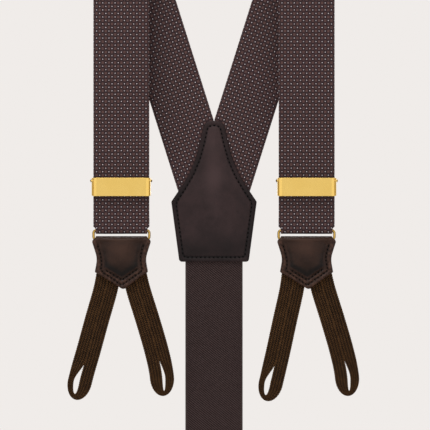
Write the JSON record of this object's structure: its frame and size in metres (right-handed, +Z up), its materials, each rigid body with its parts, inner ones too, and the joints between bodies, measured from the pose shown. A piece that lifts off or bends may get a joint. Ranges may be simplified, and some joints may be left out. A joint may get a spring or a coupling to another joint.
{
  "type": "suspenders",
  "caption": "Button-on suspenders: silk straps that cross to a leather back patch, gold adjusters, an elastic back strap, and padded leather tabs with braided button loops.",
  "frame": {"origin": "midway between the axes of the two pegs that the straps hang over", "axes": "+Z up, +Y towards the back patch's rear side, +X to the viewer's right when the patterned faces are seen"},
  "size_m": [0.2598, 0.0366, 0.7277],
  "materials": {
    "silk": "woven brown silk with small pale pin dots",
    "lining": "plain dark lining",
    "elastic": "dark brown twill elastic",
    "leather": "smooth dark brown leather",
    "tab_leather": "padded dark brown leather, soft shine",
    "backing": "matt leather backing",
    "padding": "felt padding",
    "braid": "flat dark brown braid",
    "gold": "satin gold plate"
  },
  "bodies": {
    "root": {"strap_silk_left": "silk", "strap_silk_right": "silk", "strap_lining_left": "lining", "strap_lining_right": "lining", "strap_lower_left": "silk", "strap_lower_right": "silk", "patch_front_leather": "leather", "patch_interlining": "padding", "patch_back_leather": "backing", "elastic_strap": "elastic"},
    "fold_left": {"strap_fold_left": "silk", "strap_return_left": "silk"},
    "adjuster_left": {"adjuster_frame_left": "gold", "hinge_pin_left": "gold", "strap_hem_left": "silk"},
    "lever_left": {"lever_plate_left": "gold", "lever_teeth_left": "gold"},
    "ring_left": {"ring_left": "gold"},
    "tab_left": {"tab_front_left": "tab_leather", "tab_back_left": "backing", "tab_padding_left": "padding", "tab_keeper_left": "tab_leather"},
    "loop_left_outer": {"button_loop_left_outer": "braid"},
    "loop_left_inner": {"button_loop_left_inner": "braid"},
    "fold_right": {"strap_fold_right": "silk", "strap_return_right": "silk"},
    "adjuster_right": {"adjuster_frame_right": "gold", "hinge_pin_right": "gold", "strap_hem_right": "silk"},
    "lever_right": {"lever_plate_right": "gold", "lever_teeth_right": "gold"},
    "ring_right": {"ring_right": "gold"},
    "tab_right": {"tab_front_right": "tab_leather", "tab_back_right": "backing", "tab_padding_right": "padding", "tab_keeper_right": "tab_leather"},
    "loop_right_outer": {"button_loop_right_outer": "braid"},
    "loop_right_inner": {"button_loop_right_inner": "braid"},
    "elastic_end": {"elastic_hem": "elastic"},
    "ring_rear": {"ring_rear": "gold"},
    "tab_rear": {"tab_front_rear": "tab_leather", "tab_back_rear": "backing", "tab_padding_rear": "padding", "tab_keeper_rear": "tab_leather"},
    "loop_rear_a": {"button_loop_rear_a": "braid"},
    "loop_rear_b": {"button_loop_rear_b": "braid"}
  },
  "joints": [
    {"name": "strap_length_left", "type": "slide", "parent": "root", "child": "fold_left", "axis": [0, 0, 1], "range_m": [-0.008, 0.04], "deforming": ["strap_lower_left"]},
    {"name": "adjuster_slide_left", "type": "slide", "parent": "fold_left", "child": "adjuster_left", "axis": [0, 0, 1], "range_m": [-0.008, 0.04], "deforming": ["strap_return_left"]},
    {"name": "lever_left", "type": "hinge", "parent": "adjuster_left", "child": "lever_left", "pos_m": [-0.0593, -0.0098, -0.39378], "axis": [-1, 0, 0], "range_deg": [0, 90]},
    {"name": "ring_swing_left", "type": "hinge", "parent": "fold_left", "child": "ring_left", "pos_m": [-0.0593, -0.00525, -0.42543], "axis": [1, 0, 0], "range_deg": [-80, 80]},
    {"name": "tab_swing_left", "type": "hinge", "parent": "ring_left", "child": "tab_left", "pos_m": [-0.0593, -0.00525, -0.43133], "axis": [1, 0, 0], "range_deg": [-45, 45]},
    {"name": "loop_flex_left_outer", "type": "hinge", "parent": "tab_left", "child": "loop_left_outer", "pos_m": [-0.0672, -0.00525, -0.45138], "axis": [0, 1, 0], "range_deg": [-8, 8], "stiffness_Nm_per_rad": 0.02},
    {"name": "loop_flex_left_inner", "type": "hinge", "parent": "tab_left", "child": "loop_left_inner", "pos_m": [-0.0514, -0.00525, -0.45138], "axis": [0, 1, 0], "range_deg": [-8, 8], "stiffness_Nm_per_rad": 0.02},
    {"name": "strap_length_right", "type": "slide", "parent": "root", "child": "fold_right", "axis": [0, 0, 1], "range_m": [-0.008, 0.04], "deforming": ["strap_lower_right"]},
    {"name": "adjuster_slide_right", "type": "slide", "parent": "fold_right", "child": "adjuster_right", "axis": [0, 0, 1], "range_m": [-0.008, 0.04], "deforming": ["strap_return_right"]},
    {"name": "lever_right", "type": "hinge", "parent": "adjuster_right", "child": "lever_right", "pos_m": [0.0593, -0.0098, -0.39378], "axis": [-1, 0, 0], "range_deg": [0, 90]},
    {"name": "ring_swing_right", "type": "hinge", "parent": "fold_right", "child": "ring_right", "pos_m": [0.0593, -0.00525, -0.42543], "axis": [1, 0, 0], "range_deg": [-80, 80]},
    {"name": "tab_swing_right", "type": "hinge", "parent": "ring_right", "child": "tab_right", "pos_m": [0.0593, -0.00525, -0.43133], "axis": [1, 0, 0], "range_deg": [-45, 45]},
    {"name": "loop_flex_right_outer", "type": "hinge", "parent": "tab_right", "child": "loop_right_outer", "pos_m": [0.0672, -0.00525, -0.45138], "axis": [0, 1, 0], "range_deg": [-8, 8], "stiffness_Nm_per_rad": 0.02},
    {"name": "loop_flex_right_inner", "type": "hinge", "parent": "tab_right", "child": "loop_right_inner", "pos_m": [0.0514, -0.00525, -0.45138], "axis": [0, 1, 0], "range_deg": [-8, 8], "stiffness_Nm_per_rad": 0.02},
    {"name": "elastic_stretch", "type": "slide", "parent": "root", "child": "elastic_end", "axis": [0, 0, -1], "range_m": [0, 0.05], "stiffness_N_per_m": 150, "springref_m": -0.01, "deforming": ["elastic_strap"]},
    {"name": "ring_swing_rear", "type": "hinge", "parent": "elastic_end", "child": "ring_rear", "pos_m": [0, 0.00885, -0.58333], "axis": [1, 0, 0], "range_deg": [-80, 80]},
    {"name": "tab_swing_rear", "type": "hinge", "parent": "ring_rear", "child": "tab_rear", "pos_m": [0, 0.00885, -0.58923], "axis": [1, 0, 0], "range_deg": [-45, 45]},
    {"name": "loop_flex_rear_a", "type": "hinge", "parent": "tab_rear", "child": "loop_rear_a", "pos_m": [-0.0079, 0.00885, -0.60928], "axis": [0, 1, 0], "range_deg": [-8, 8], "stiffness_Nm_per_rad": 0.02},
    {"name": "loop_flex_rear_b", "type": "hinge", "parent": "tab_rear", "child": "loop_rear_b", "pos_m": [0.0079, 0.00885, -0.60928], "axis": [0, 1, 0], "range_deg": [-8, 8], "stiffness_Nm_per_rad": 0.02}
  ],
  "couplings": [
    {"joint": "adjuster_slide_left", "follows": "strap_length_left", "ratio": 1},
    {"joint": "adjuster_slide_right", "follows": "strap_length_right", "ratio": 1}
  ]
}
